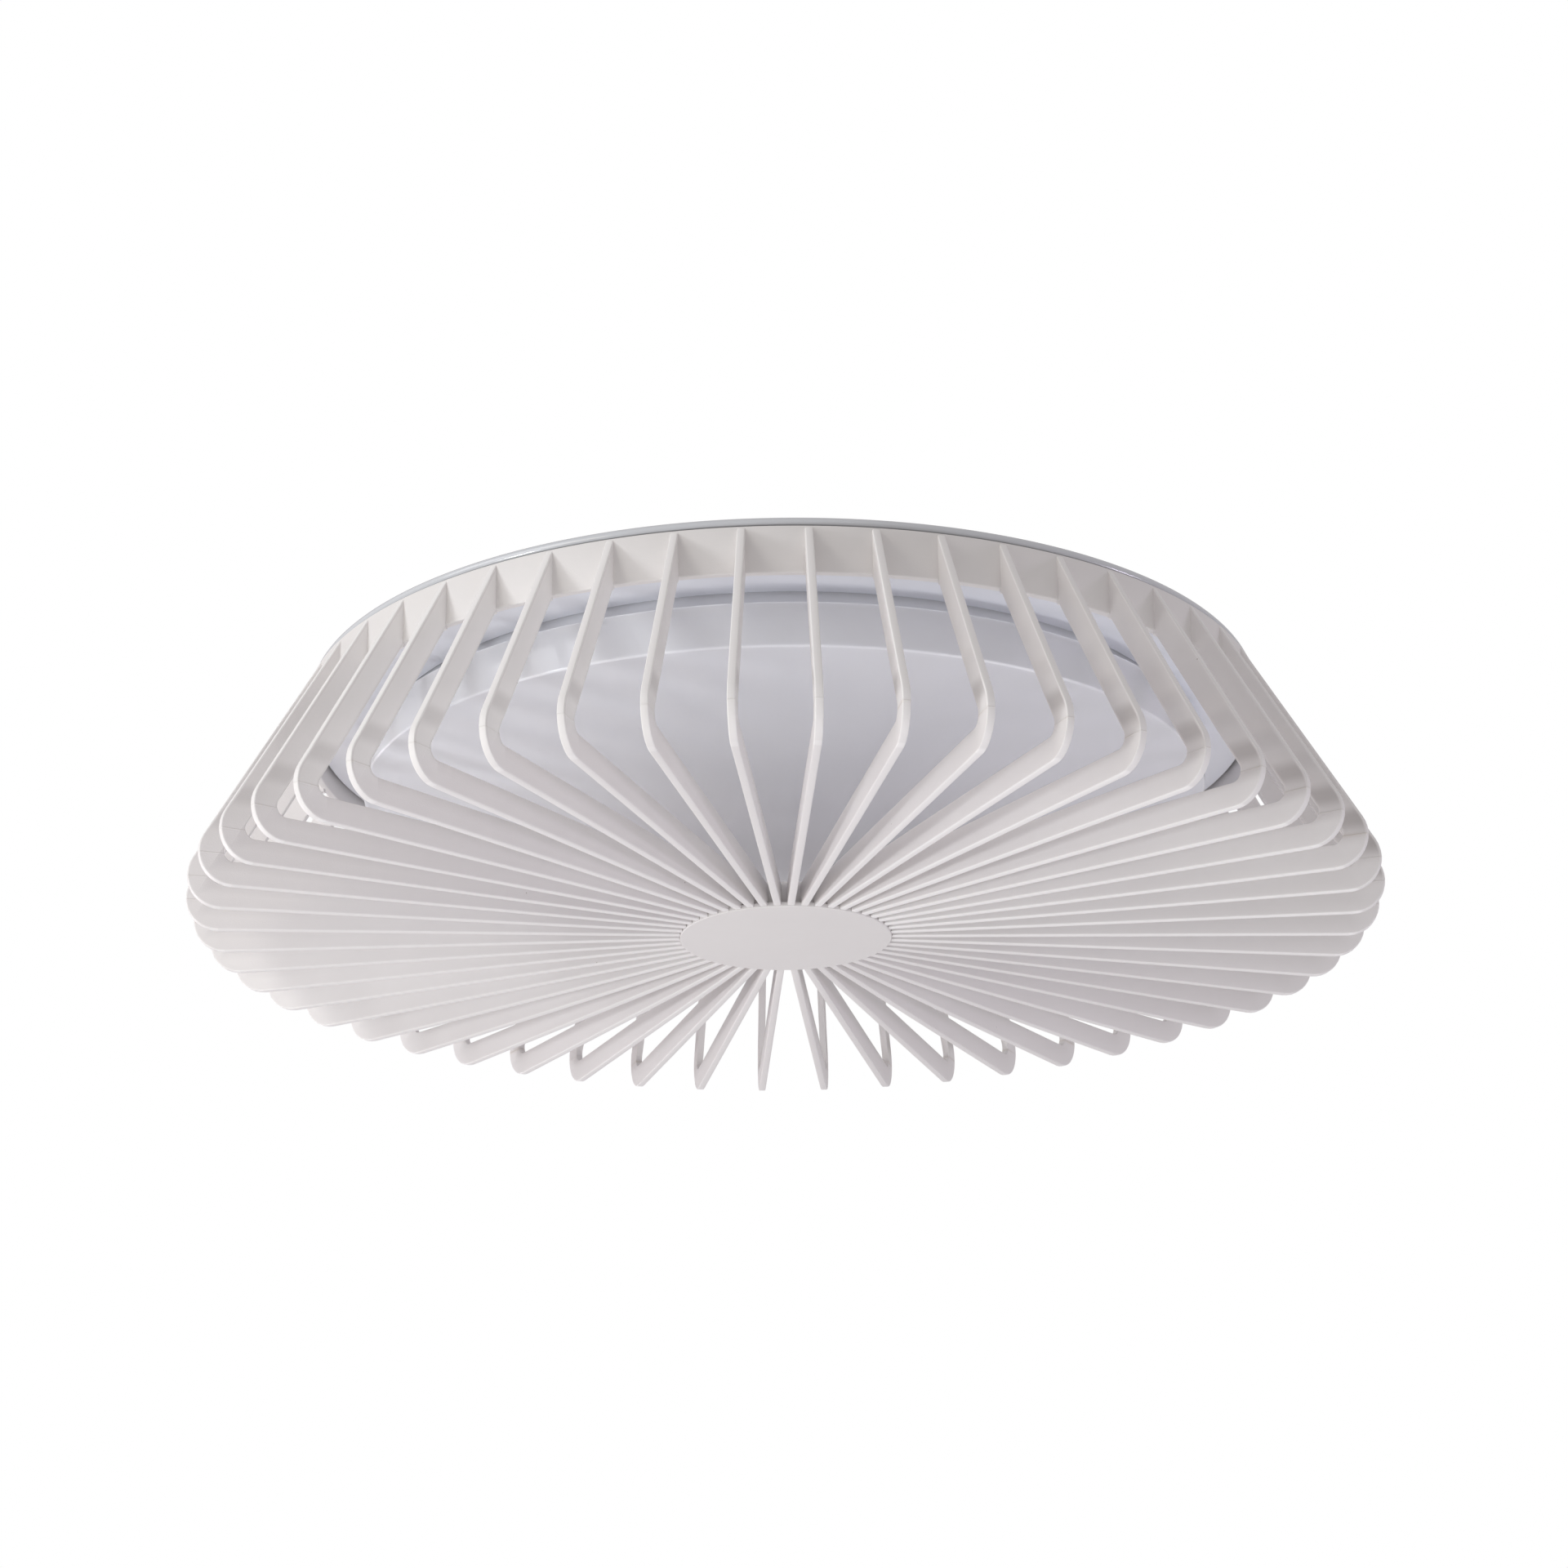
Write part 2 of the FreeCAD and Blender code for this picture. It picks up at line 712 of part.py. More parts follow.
def driver_case():
    top = tray_top + driver_height - driver_cover_thickness
    inner_length = driver_length - 2 * driver_wall
    inner_width = driver_width - 2 * driver_wall
    case = block(driver_length, driver_width, tray_top, top, 0, driver_reach)
    case = case.cut(block(inner_length, inner_width, driver_floor(), top + 1, 0, driver_reach))
    root = driver_floor() - driver_rail_root
    rail_top = driver_floor() + driver_rail
    for side in (-1, 1):
        rail_y = driver_reach + side * (inner_width - driver_rail_width) / 2
        case = case.fuse(block(inner_length, driver_rail_width, root, rail_top, 0, rail_y))
    for x, y in driver_screw_places():
        case = case.fuse(cylinder(small_head_radius, root, rail_top, x, y))
        bore_top = driver_floor() + driver_rail * 0.8
        case = case.cut(cylinder(small_screw_radius + thread_play, tray_top - 1, bore_top, x, y))
    for side in (-1, 1):
        mains_x = side * lead_spacing / 2
        mains_y = driver_reach - driver_width / 2 - driver_wall
        case = case.cut(rod_y(lead_radius + hole_play, driver_wall * 3, mains_x, mains_y, mains_height()))
    for x, y in led_lead_places():
        start = driver_length / 2 - driver_wall * 2
        case = case.cut(rod_x(led_lead_radius + hole_play, driver_wall * 3, start, y, led_lead_height()))
    return case.removeSplitter()


def driver_cover():
    top = tray_top + driver_height
    return block(driver_length, driver_width, top - driver_cover_thickness, top, 0, driver_reach)


def driver_board_top():
    return driver_floor() + driver_rail + driver_board_thickness


def driver_board():
    length = driver_length - 2 * driver_wall - 2 * driver_board_play
    width = driver_width - 2 * driver_wall - 2 * driver_board_play
    return block(length, width, driver_floor() + driver_rail, driver_board_top(), 0, driver_reach)


def transformer_core():
    low = driver_board_top()
    core = block(core_length, core_width, low, low + core_height, 0, driver_reach)
    window_low = low + core_wall / 2
    window_high = low + core_height - core_wall / 2
    window = block(core_length - 2 * core_wall, core_width + 2, window_low, window_high, 0, driver_reach)
    leg = block(core_wall, core_width, low, low + core_height, 0, driver_reach)
    return core.cut(window).fuse(leg).removeSplitter()


def transformer_coil():
    """Winding round the core's middle leg, standing out at both faces of the core."""
    low = driver_board_top() + core_wall / 2
    high = driver_board_top() + core_height - core_wall / 2
    length = core_length - 2 * core_wall - coil_play
    coil = block(length, core_width + 2 * coil_bulge, low, high, 0, driver_reach)
    return coil.cut(block(core_wall, core_width, low - 1, high + 1, 0, driver_reach))


def driver_capacitors():
    axis_height = driver_board_top() + capacitor_radius
    far_end = -core_length / 2 - capacitor_room - capacitor_length
    cans = []
    for number in range(capacitor_count):
        y = driver_reach + (number - (capacitor_count - 1) / 2) * capacitor_radius * 2.4
        cans.append(rod_x(capacitor_radius, capacitor_length, far_end, y, axis_height))
    return Part.makeCompound(cans)


def driver_screws():
    one = flip(small_screw(tray_sheet + driver_wall + driver_rail * 0.5))
    return Part.makeCompound([move(one, x, y, tray_under) for x, y in driver_screw_places()])


# Terminal block, earth and leads

def block_screw_places():
    x = block_length / 2 - small_head_radius - block_screw_edge
    return [(side * x, block_reach) for side in (-1, 1)]


def lever_places():
    return [(number - (lever_count - 1) / 2) * lever_pitch for number in range(lever_count)]


def lever_hinge():
    """Reach and height of the lever pin."""
    reach = block_reach + block_width / 2 - lever_barrel_radius - lever_back_wall
    return reach, recess_floor + block_height - lever_thickness / 2


def terminal_block():
    top = recess_floor + block_height
    hinge_y, hinge_z = lever_hinge()
    body = block(block_length, block_width, recess_floor, top, 0, block_reach)
    front = block_reach - block_width / 2
    pocket_back = hinge_y + lever_barrel_radius + lever_play
    pocket_front = hinge_y - lever_length - lever_play
    pocket_length = pocket_back - pocket_front
    pocket_floor = hinge_z - lever_barrel_radius - lever_play
    pocket_middle = (pocket_back + pocket_front) / 2
    pocket_width = lever_width + 2 * lever_play
    for x in lever_places():
        body = body.cut(block(pocket_width, pocket_length, pocket_floor, top + 1, x, pocket_middle))
        body = body.cut(rod_y(entry_radius, entry_length, x, front, recess_floor + entry_rise))
    body = body.cut(lever_pin_shape(lever_pin_radius + thread_play))
    socket_length = entry_length / 2
    socket_y = block_reach + block_width / 2 - socket_length
    for side in (-1, 1):
        socket_x = side * lead_spacing / 2
        body = body.cut(rod_y(lead_radius + thread_play, socket_length, socket_x, socket_y, mains_height()))
    seat = recess_floor + block_height / 2
    for x, y in block_screw_places():
        body = body.cut(cylinder(small_screw_radius + hole_play, recess_floor - 1, top + 1, x, y))
        body = body.cut(cylinder(small_head_radius + hole_play, seat, top + 1, x, y))
    return body


def lever_pin_shape(radius):
    hinge_y, hinge_z = lever_hinge()
    span = lever_pitch * (lever_count - 1) + lever_width + 2 * lever_pin_overrun
    return rod_x(radius, span, -span / 2, hinge_y, hinge_z)


def lever_pin():
    return lever_pin_shape(lever_pin_radius)


def terminal_lever(x):
    """Lever that lies in its pocket: the barrel turns on the pin and the arm lifts."""
    hinge_y, hinge_z = lever_hinge()
    start = x - lever_width / 2
    lever = rod_x(lever_barrel_radius, lever_width, start, hinge_y, hinge_z)
    arm_low = hinge_z - lever_thickness / 2
    arm = block(lever_width, lever_length, arm_low, arm_low + lever_thickness, x, hinge_y - lever_length / 2)
    lever = lever.fuse(arm)
    lever = lever.cut(rod_x(lever_pin_radius + thread_play, lever_width, start, hinge_y, hinge_z))
    return lever.removeSplitter()


def terminal_screws():
    one = small_screw(block_height / 2 + pan_sheet)
    seat = recess_floor + block_height / 2
    return Part.makeCompound([move(one, x, y, seat) for x, y in block_screw_places()])


def earth_tag():
    x, y = earth_place
    low = recess_floor
    high = low + earth_tag_thickness
    tag = cylinder(screw_head_radius + earth_tag_margin, low, high, x, y)
    tag = tag.fuse(block(earth_tag_length, screw_head_radius, low, high, x + earth_tag_length / 2, y))
    return tag.cut(cylinder(screw_radius + hole_play, low - 1, high + 1, x, y)).removeSplitter()


def earth_screw():
    return move(big_screw(earth_tag_thickness + pan_sheet), earth_place[0], earth_place[1],
                recess_floor + earth_tag_thickness)


def earth_lead():
    """Lead from the earth tag to the end of the terminal block."""
    x, y = earth_place
    height = recess_floor + earth_tag_thickness + lead_radius
    start = x + earth_tag_length * 0.6
    end = -block_length / 2
    bend = (block_reach - y) / 2
    middle = (start + end) / 2
    points = [Vector(start, y, height), Vector(middle, y, height), Vector(middle, block_reach, height),
              Vector(end, block_reach, height)]
    return swept_lead(points, min(bend, middle - start, end - middle) * 0.95, lead_radius)


def swept_lead(points, bend, radius):
    """Round lead along straight runs joined by arcs of one radius."""
    edges = []
    last = points[0]
    for place in range(1, len(points) - 1):
        corner = points[place]
        inward = (points[place - 1] - corner).normalize()
        onward = (points[place + 1] - corner).normalize()
        half = inward.getAngle(onward) / 2
        reach = bend / math.tan(half)
        centre = corner + (inward + onward).normalize() * (bend / math.sin(half))
        middle = centre - (inward + onward).normalize() * bend
        if last.distanceToPoint(corner + inward * reach) > 1e-6:
            edges.append(Part.LineSegment(last, corner + inward * reach).toShape())
        last = corner + onward * reach
        edges.append(Part.Arc(corner + inward * reach, middle, last).toShape())
    edges.append(Part.LineSegment(last, points[-1]).toShape())
    path = Part.Wire(edges)
    section = Part.Wire(Part.Circle(points[0], points[1] - points[0], radius).toShape())
    return path.makePipeShell([section], True, False)


def mains_height():
    return recess_floor + lead_rise


def led_lead_height():
    return driver_board_top() + led_lead_radius + led_lead_rise


def mains_leads():
    start = block_reach + block_width / 2 - entry_length / 2
    end = driver_reach - driver_width / 2 + driver_wall * 1.5
    leads = []
    for side in (-1, 1):
        leads.append(rod_y(lead_radius, end - start, side * lead_spacing / 2, start, mains_height()))
    return Part.makeCompound(leads)


def wire_grommet():
    middle = mains_height()
    length = pan_sheet + 2 * grommet_lip + grommet_sleeve
    start = recess_radius + pan_sheet / 2 - length / 2 - grommet_shift
    plug = rod_y(grommet_radius, length, 0, start, middle)
    plug = plug.cut(base_pan())
    for side in (-1, 1):
        plug = plug.cut(rod_y(lead_radius, length * 2, side * lead_spacing / 2, start - length / 2, middle))
    return plug


def led_leads():
    height = led_lead_height()
    inside = driver_length / 2 - driver_wall * 1.5
    leads = []
    for x, y in led_lead_places():
        points = [Vector(inside, y, height), Vector(x, y, height), Vector(x, y, tray_under)]
        leads.append(swept_lead(points, led_lead_bend, led_lead_radius))
    return Part.makeCompound(leads)


pieces = {
    "ceiling_bracket": ceiling_bracket(),
    "bracket_studs": bracket_studs(),
    "stud_washers": stud_washers(),
    "stud_nuts": stud_nuts(),
    "ceiling_gasket": ceiling_gasket(),
    "base_pan": base_pan(),
    "trim_ring": trim_ring(),
    "trim_screws": trim_screws(),
    "cage_clips": cage_clips(),
    "clip_rivets": clip_rivets(),
    "terminal_block": terminal_block(),
    "terminal_screws": terminal_screws(),
    "lever_pin": lever_pin(),
    "earth_tag": earth_tag(),
    "earth_screw": earth_screw(),
    "earth_lead": earth_lead(),
    "wire_grommet": wire_grommet(),
    "mains_leads": mains_leads(),
    "driver_case": driver_case(),
    "driver_cover": driver_cover(),
    "driver_board": driver_board(),
    "transformer_core": transformer_core(),
    "transformer_coil": transformer_coil(),
    "driver_capacitors": driver_capacitors(),
    "driver_screws": driver_screws(),
    "led_leads": led_leads(),
    "gear_tray": gear_tray(),
    "tray_posts": tray_posts(),
    "tray_screws": tray_screws(),
    "led_board": led_board(),
    "led_packages": led_packages(),
    "board_screws": board_screws(),
    "diffuser": diffuser(),
    "cage_ring": cage_ring(),
    "cage_fins": cage_fins(),
    "cage_hub": cage_hub(),
    "hub_cap": hub_cap(),
    "hub_screws": hub_screws(),
}
for name, x in zip(("lever_live", "lever_neutral", "lever_earth"), lever_places()):
    pieces[name] = terminal_lever(x)

os.makedirs("parts", exist_ok=True)
for name, shape in pieces.items():
    shape.exportStep(os.path.join("parts", name + ".step"))
    print(name, len(shape.Solids), "solids", "valid" if shape.isValid() else "NOT VALID", round(shape.Volume))
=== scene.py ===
import math

import bmesh
import bpy
from mathutils import Matrix, Vector


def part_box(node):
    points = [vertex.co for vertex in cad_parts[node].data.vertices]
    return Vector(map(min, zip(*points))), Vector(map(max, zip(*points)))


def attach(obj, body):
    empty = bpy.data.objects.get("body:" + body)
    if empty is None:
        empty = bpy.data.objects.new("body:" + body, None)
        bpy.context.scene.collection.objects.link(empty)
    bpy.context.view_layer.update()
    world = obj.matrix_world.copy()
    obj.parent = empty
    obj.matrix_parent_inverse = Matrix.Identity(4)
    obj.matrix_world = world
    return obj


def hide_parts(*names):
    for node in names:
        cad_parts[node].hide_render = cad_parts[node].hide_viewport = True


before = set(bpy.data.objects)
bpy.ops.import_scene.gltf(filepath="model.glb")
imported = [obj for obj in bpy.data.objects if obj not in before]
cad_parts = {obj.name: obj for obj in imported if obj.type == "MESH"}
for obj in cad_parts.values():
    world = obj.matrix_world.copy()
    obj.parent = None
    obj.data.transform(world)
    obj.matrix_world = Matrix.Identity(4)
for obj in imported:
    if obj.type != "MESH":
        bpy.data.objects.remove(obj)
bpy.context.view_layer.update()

# Sizes in metres. The cage's levels come from the frame, the rest repeat the part's own sizes.
mm = 0.001
ring_low, ring_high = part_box("cage_ring")
hub_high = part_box("cage_hub")[1]
cap_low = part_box("hub_cap")[0]
fins_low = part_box("cage_fins")[0]
fin_count = 50
fin_thickness = 3.1 * mm
fin_depth = 9.9 * mm
fin_root = ring_high.z - 0.7 * mm
fin_corner = Vector((260.2 * mm, ring_high.z - 101.1 * mm))
fin_tail_rise = 2.6 * mm
fin_corner_radius = 14.0 * mm
fin_crook_radius = 4.2 * mm
fin_first_turn = math.radians(2.97)
fin_edge_round = 0.45 * mm
parting_level = fins_low.z + 12.9 * mm    # where the two halves of the fins' mould meet
buried = 1.2 * mm                         # how far a moulded root runs into the wall that carries it
ring_radius = 203.3 * mm
ring_wall = 3.0 * mm
hub_radius = 43.0 * mm
hub_wall = 3.0 * mm
hub_web = 2.0 * mm
cage_edge_round = 0.6 * mm
cap_radius = 44.6 * mm
cap_thickness = 2.0 * mm
cap_top = cap_low.z + cap_thickness
cap_edge_round = 0.5 * mm
cap_gap = 0.15 * mm                       # between the cap's rim and the fins
pan_radius = 198.2 * mm
pan_sheet = 1.0 * mm
pan_bend = 2.2 * mm
pan_wall_foot = -14.4 * mm
roof_top = -2.5 * mm
rib_distance = 40.0 * mm                  # from the recess to the roof's pressed rib
rib_width = 9.0 * mm
rib_rise = 1.0 * mm
bead_radius = 1.85 * mm
bead_middle = 199.9 * mm
recess_radius = 64.0 * mm
recess_floor = -24.5 * mm
trim_radius = 198.7 * mm
trim_opening = 170.7 * mm
trim_thickness = 2.0 * mm
trim_dish = 1.4 * mm
trim_edge_round = 1.2 * mm
collar_radius = 170.2 * mm
collar_top = -12.0 * mm
neck_round = 0.8 * mm
rim_radius = 179.5 * mm
rim_top = -25.4 * mm
rim_round = 0.5 * mm
foot_radius = 178.5 * mm
foot_level = -43.3 * mm
foot_round = 1.1 * mm
crown_depth = 7.3 * mm
crown_margin = 4.0 * mm                   # from the diffuser's lower edge to the start of its crown
bowl_wall = 2.0 * mm
lug_count = 3
lug_reach = 3.8 * mm
lug_thickness = 2.0 * mm
lug_clearance = 0.3 * mm
lug_edge_round = 0.3 * mm
lug_angle = math.radians(14.0)
lug_first = math.radians(75.0)
round_steps = 300                         # facets round the light's large circles
plastic_ior = 1.5


# Node building

class Tone:
    """One socket of a material. Arithmetic on it adds the Math nodes."""

    def __init__(self, socket):
        self.socket = socket

    def node(self, kind, settings=None, sockets=None, out=0):
        return add_node(self.socket.id_data, kind, settings, sockets, out)

    def output(self, name):
        """Another output of the same node."""
        return Tone(self.socket.node.outputs[name])

    def math(self, operation, *values):
        return self.node("ShaderNodeMath", {"operation": operation}, dict(enumerate(values)))

    def __add__(self, other):
        return self.math("ADD", self, other)

    def __radd__(self, other):
        return self.math("ADD", other, self)

    def __sub__(self, other):
        return self.math("SUBTRACT", self, other)

    def __rsub__(self, other):
        return self.math("SUBTRACT", other, self)

    def __mul__(self, other):
        return self.math("MULTIPLY", self, other)

    def __rmul__(self, other):
        return self.math("MULTIPLY", other, self)

    def __truediv__(self, other):
        return self.math("DIVIDE", self, other)

    def __rtruediv__(self, other):
        return self.math("DIVIDE", other, self)

    def clamped(self, low, high):
        """0 below low, 1 above high, smooth in between."""
        ramp = {"interpolation_type": "SMOOTHSTEP"}
        return self.node("ShaderNodeMapRange", ramp, {"Value": self, "From Min": low, "From Max": high})

    def near(self, level, core, reach):
        """1 within core of a level, 0 beyond reach of it, smooth in between."""
        gap = self - level
        return 1 - gap.math("ABSOLUTE", gap).clamped(core, reach)

    def mix(self, first, second):
        """Colour between two colours, with this value as the share of the second."""
        settings = {"data_type": "RGBA"}
        return self.node("ShaderNodeMix", settings, {"Factor": self, 6: first, 7: second}, out=2)


def add_node(tree, kind, settings=None, sockets=None, out=0):
    """Adds a node, sets it and gives one of its outputs, or nothing where out is None."""
    node = tree.nodes.new(kind)
    for name, value in (settings or {}).items():
        setattr(node, name, value)
    for name, value in (sockets or {}).items():
        target = node.inputs[name]
        if isinstance(value, Tone):
            tree.links.new(value.socket, target)
        else:
            target.default_value = value
    return None if out is None else Tone(node.outputs[out])


class Finish:
    """A surface finish: a principled shader whose sockets take numbers, colours or tones."""

    def __init__(self, name, constants):
        self.material = bpy.data.materials.new(name)
        self.material.use_nodes = True
        self.tree = self.material.node_tree
        self.shader = self.tree.nodes["Principled BSDF"]
        for socket, value in constants.items():
            self.set(socket, value)

    def node(self, kind, settings=None, sockets=None, out=0):
        return add_node(self.tree, kind, settings, sockets, out)

    def set(self, socket, value):
        target = self.shader.inputs[socket]
        if isinstance(value, Tone):
            self.tree.links.new(value.socket, target)
        else:
            target.default_value = value

    def place(self, scale=(1, 1, 1)):
        """Object coordinates, stretched."""
        spot = self.node("ShaderNodeTexCoord", out="Object")
        return self.node("ShaderNodeMapping", None, {"Vector": spot, "Scale": scale})

    def axes(self):
        """Object X, Y and Z as three tones."""
        spot = self.node("ShaderNodeTexCoord", out="Object")
        first = self.node("ShaderNodeSeparateXYZ", None, {"Vector": spot})
        return [first.output(name) for name in "XYZ"]

    def noise(self, scale, detail=3.0, roughness=0.5, place=None):
        sockets = {"Vector": place or self.place(), "Scale": scale, "Detail": detail, "Roughness": roughness}
        return self.node("ShaderNodeTexNoise", None, sockets)

    def cloud(self, scale, detail=3.0):
        """Soft patches between 0 and 1."""
        return self.noise(scale, detail).clamped(0.3, 0.7)

    def specks(self, scale, core, reach):
        """1 on small scattered dots, whose sizes are in cell sizes."""
        cells = self.node("ShaderNodeTexVoronoi", None, {"Vector": self.place(), "Scale": scale})
        return 1 - cells.clamped(core, reach)

    def bump(self, height):
        """Relief from a height in metres."""
        self.set("Normal", self.node("ShaderNodeBump", None, {"Height": height, "Distance": 1.0}))


def rgb(red, green, blue):
    return (red, green, blue, 1.0)


def length(first, second):
    """Length of a flat vector, such as the distance of X and Y from the light's centre line."""
    return first.math("SQRT", first * first + second * second)


# Finishes

def moulded_white(name, dull, clear, parting=None):
    """Warm white matte moulding: mottle, fine grain, stray specks and, given a parting level, fin marks with
    painted shade and highlights.
    """
    speck_tint = rgb(0.42, 0.37, 0.34)
    handled_tint = rgb(0.55, 0.46, 0.36)
    painted_highlight_tint = rgb(0.95, 0.93, 0.92)
    painted_shade_tint = rgb(0.30, 0.27, 0.26)
    finish = Finish(name, {"IOR": plastic_ior})
    colour = finish.cloud(14.0, 4.0).mix(dull, clear)
    specks = finish.specks(95.0, 0.018, 0.034)
    patches = finish.noise(21.0).clamped(0.52, 0.6)
    colour = (specks * patches).mix(colour, speck_tint)
    grain = finish.noise(1700.0, 2.0)
    sink = finish.noise(60.0, 2.0)
    height = grain * (0.04 * mm) + sink * (0.12 * mm)
    if parting is not None:
        x, y, z = finish.axes()
        line = z.near(parting, 0.08 * mm, 0.40 * mm)
        smudge = z.near(parting, 0.3 * mm, 1.6 * mm)
        worn = finish.noise(34.0, 2.0).clamped(0.42, 0.66)
        marked = smudge * worn * 0.14 + line * (worn * 0.16 + 0.08)
        colour = marked.mix(colour, handled_tint)
        height = height + line * (0.10 * mm)
        # Painted shade above the fins' crooks and on the right-hand sides, painted highlights on their edges
        # and front left sides
        painted_shade, painted_highlight = fin_tones(x, y, z)
        colour = painted_highlight.mix(colour, painted_highlight_tint)
        colour = painted_shade.mix(colour, painted_shade_tint)
    finish.set("Base Color", colour)
    finish.set("Roughness", finish.noise(260.0) * 0.14 + 0.42)
    finish.bump(height)
    return finish.material


def fin_lines():
    """A fin's outer edge, as radius and height: start, end and the directions of its arm and tail."""
    start = Vector((ring_radius, fin_root))
    end = Vector((hub_radius, fin_corner.y + fin_tail_rise))
    arm = (fin_corner - start).normalized()
    tail = (end - fin_corner).normalized()
    return start, end, arm, tail


def inside_corner(arm, tail, depth):
    """Point at the same depth below a fin's arm and its tail."""
    return fin_corner + (tail - arm).normalized() * (depth / math.sin((-arm).angle(tail) / 2))


def inside_fin(across, z):
    """Depth of a point below a fin's outer edge, along its arm and round its corner."""
    start, _, arm, tail = fin_lines()
    centre = inside_corner(arm, tail, fin_corner_radius)
    blend = 0.5 * mm
    below_arm = (across - start.x) * arm.y - (z - start.y) * arm.x
    out = across - centre.x
    down = z - centre.y
    below_arc = fin_corner_radius - length(out, down)
    past_arm = (out * arm.x + down * arm.y).clamped(-blend, blend)
    before_tail = (0 - out * tail.x - down * tail.y).clamped(-blend, blend)
    on_arc = past_arm * before_tail
    return below_arm * (1 - on_arc) + below_arc * on_arc


def above_tail(across, z):
    """Height of a point over the line of a fin's lower edge."""
    climb = fin_tail_rise / (fin_corner.x - hub_radius)
    return z - fin_corner.y - (fin_corner.x - across) * climb


def fin_tones(x, y, z):
    """Shares of painted shade on a fin's sides and of painted highlight on its edges and on the arms' sides
    at the front left.
    """
    across = length(x, y)
    inside = inside_fin(across, z)
    left = 0 - x
    right = x.clamped(-150 * mm, 150 * mm)
    sides = inside.clamped(0.5 * mm, 1.4 * mm) * (1 - inside.clamped(8.7 * mm, 9.6 * mm))

    # Painted shade: bands above the crook, a little lower towards the right, and darker sides at the right
    level = z + x * 0.018
    low = level.near(-81.5 * mm, 1.0 * mm, 6.5 * mm)
    faint = level.near(-66.0 * mm, 1.0 * mm, 6.0 * mm)
    dull = x.clamped(150 * mm, 250 * mm) * z.clamped(-97 * mm, -86 * mm)
    painted_shade = sides * (low * (right * 0.18 + 0.22) + faint * right * 0.10 + dull * 0.10)

    # Painted highlight on the outer edge of the arm, weaker towards the right and lower down
    edge = (1 - inside.clamped(0.35 * mm, 0.8 * mm)) * (0.95 - x.clamped(50 * mm, 150 * mm) * 0.35)
    edge = edge * (z.clamped(-100 * mm, -82 * mm) * 0.6 + 0.4)

    # Painted highlight on the lower edge of the tail, on the fins that point to the left and to the front
    # right
    under = 1 - above_tail(across, z).clamped(0.35 * mm, 0.8 * mm)
    to_left = (left / across).clamped(-0.2, 0.6)
    to_front_right = ((x * 0.8 - y * 0.6) / across).clamped(0.45, 0.95)
    under = under * (to_left * 0.5 + to_front_right * 0.85)

    # Painted highlight on the sides of the arms at the front left
    pale = left.clamped(20 * mm, 80 * mm) * (1 - left.clamped(160 * mm, 210 * mm))
    pale = pale * (0 - y).clamped(80 * mm, 140 * mm) * z.clamped(-103 * mm, -90 * mm)
    return painted_shade, edge + under + sides * pale * 0.85


def glossy_paint():
    """Cool white baked paint on sheet: slight orange peel under a clear gloss, painted shade in the bead's
    seam.
    """
    seam_shade_tint = rgb(0.16, 0.16, 0.17)
    speck_tint = rgb(0.35, 0.35, 0.36)
    finish = Finish("pan paint", {"IOR": plastic_ior, "Coat Weight": 0.8, "Coat Roughness": 0.06})
    colour = finish.cloud(9.0).mix(rgb(0.655, 0.670, 0.700), rgb(0.685, 0.700, 0.730))
    x, y, z = finish.axes()
    depth = 0 - z
    # Painted shade in the seam just under the bead
    seam_shade = depth.clamped(2.9 * mm, 3.6 * mm) * (1 - depth.clamped(4.6 * mm, 6.2 * mm))
    seam_shade = seam_shade * length(x, y).clamped(pan_radius - 1.5 * mm, pan_radius - 1.0 * mm)
    colour = (seam_shade * 0.85).mix(colour, seam_shade_tint)
    specks = finish.specks(60.0, 0.012, 0.022)
    finish.set("Base Color", (specks * 0.6).mix(colour, speck_tint))
    finish.set("Roughness", finish.noise(120.0) * 0.10 + 0.16)
    finish.bump(finish.noise(420.0, 2.0) * (0.02 * mm))
    return finish.material


def glossy_trim():
    """Cool white polished moulding."""
    finish = Finish("trim gloss", {"IOR": plastic_ior})
    finish.set("Base Color", finish.cloud(11.0).mix(rgb(0.870, 0.880, 0.930), rgb(0.895, 0.905, 0.950)))
    finish.set("Roughness", finish.noise(90.0) * 0.08 + 0.10)
    finish.bump(finish.noise(160.0, 2.0) * (0.02 * mm))
    return finish.material


def opal_acrylic():
    """Milky acrylic with a polished, slightly wavy skin. Painted shade on its left side, a painted glow at
    its neck and a painted highlight along its foot.
    """
    left_side_shade_tint = rgb(0.62, 0.62, 0.65)
    dust_tint = rgb(0.45, 0.45, 0.48)
    glow_tint = rgb(0.97, 0.97, 1.0)
    finish = Finish("opal acrylic", {"IOR": 1.49, "Subsurface Weight": 1.0, "Subsurface Scale": 1.6 * mm,
                                     "Subsurface Radius": (1.0, 1.0, 1.0), "Emission Strength": 1.0})
    colour = finish.cloud(7.0).mix(rgb(0.796, 0.802, 0.842), rgb(0.822, 0.828, 0.866))
    x, y, z = finish.axes()
    left = 0 - x
    # Painted shade on the side and foot edge at the left
    wall = z.clamped(foot_level - 1 * mm, foot_level + 1 * mm) * left.clamped(40 * mm, 130 * mm)
    colour = (wall * 0.62).mix(colour, left_side_shade_tint)
    dust = finish.specks(70.0, 0.012, 0.03)
    finish.set("Base Color", (dust * 0.25).mix(colour, dust_tint))
    finish.set("Roughness", finish.noise(30.0, 2.0) * 0.06 + 0.10)
    finish.bump(finish.noise(38.0, 1.0) * (0.03 * mm))
    # Emission: painted glow at the neck and a painted highlight along the lower edge
    finish.set("Emission Color", painted_glow(x, y, z).mix(rgb(0, 0, 0), glow_tint))
    return finish.material


